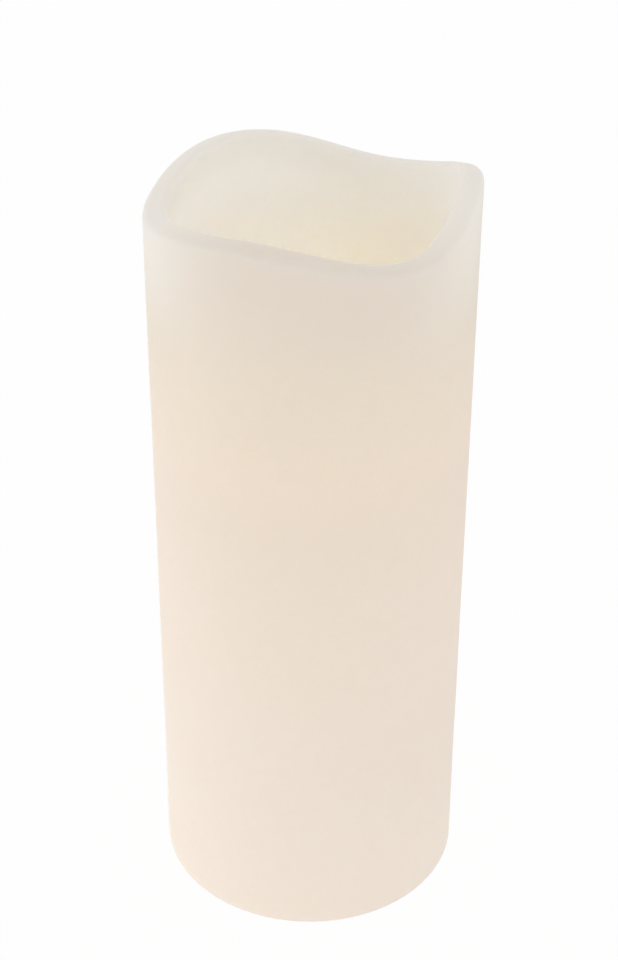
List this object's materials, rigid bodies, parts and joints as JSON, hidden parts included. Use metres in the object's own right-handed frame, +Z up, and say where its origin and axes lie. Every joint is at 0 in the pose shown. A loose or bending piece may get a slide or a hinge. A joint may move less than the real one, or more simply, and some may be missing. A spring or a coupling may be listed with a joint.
{
  "type": "flameless pillar candle",
  "caption": "Tall cast-wax flameless pillar candle with a wavy melted rim, a deep recess lit from its floor, and a battery core with a twist lid and slide switch in its foot.",
  "frame": {"origin": "centre of the foot, on the table plane", "axes": "+Z up along the candle's axis, -Y towards the picture's camera, +X to its right"},
  "size_m": [0.075, 0.075, 0.1887],
  "materials": {
    "wax": "satin cast wax",
    "ivory_plastic": "fine moulded texture",
    "core_plastic": "plain moulded",
    "screw_steel": "zinc plated",
    "nickel_sheet": "nickel plated",
    "spring_wire": "nickel plated wire",
    "cell_jacket": null,
    "board": "solder mask",
    "black_epoxy": "glossy",
    "capacitor_can": "sleeved can",
    "led_epoxy": "clear warm-white lens, lit",
    "red_insulation": "PVC insulation",
    "black_insulation": "PVC insulation",
    "switch_steel": "tin plated",
    "switch_board": "phenolic sheet",
    "terminal_brass": "tinned",
    "knob_plastic": "plain moulded"
  },
  "bodies": {
    "candle": {"wax_shell": "wax", "base_plate": "ivory_plastic", "base_screws": "screw_steel", "battery_barrel": "core_plastic", "battery_left": "cell_jacket", "battery_right": "cell_jacket", "positive_contact": "nickel_sheet", "negative_contact": "nickel_sheet", "negative_spring": "spring_wire", "control_board": "board", "control_chip": "black_epoxy", "board_resistors": "black_epoxy", "board_capacitor": "capacitor_can", "core_cap": "core_plastic", "cap_screws": "screw_steel", "led_stem": "core_plastic", "led_holder": "ivory_plastic", "led_bulb": "led_epoxy", "led_leads": "spring_wire", "lead_sleeves": "black_epoxy", "led_wire_positive": "red_insulation", "led_wire_negative": "black_insulation", "switch_frame": "switch_steel", "switch_block": "switch_board", "switch_terminals": "terminal_brass", "switch_screws": "screw_steel", "switch_wire_left": "red_insulation", "switch_wire_right": "black_insulation"},
    "lid": {"battery_lid": "ivory_plastic", "lid_bridge_contact": "nickel_sheet", "lid_spring": "spring_wire"},
    "switch": {"switch_knob": "knob_plastic"}
  },
  "joints": [
    {"name": "lid_twist", "type": "hinge", "parent": "candle", "child": "lid", "pos_m": [0, 0, 0.004], "axis": [0, 0, -1], "range_deg": [0, 36]},
    {"name": "switch_slide", "type": "slide", "parent": "candle", "child": "switch", "axis": [1, 0, 0], "range_m": [0, 0.0025]}
  ]
}
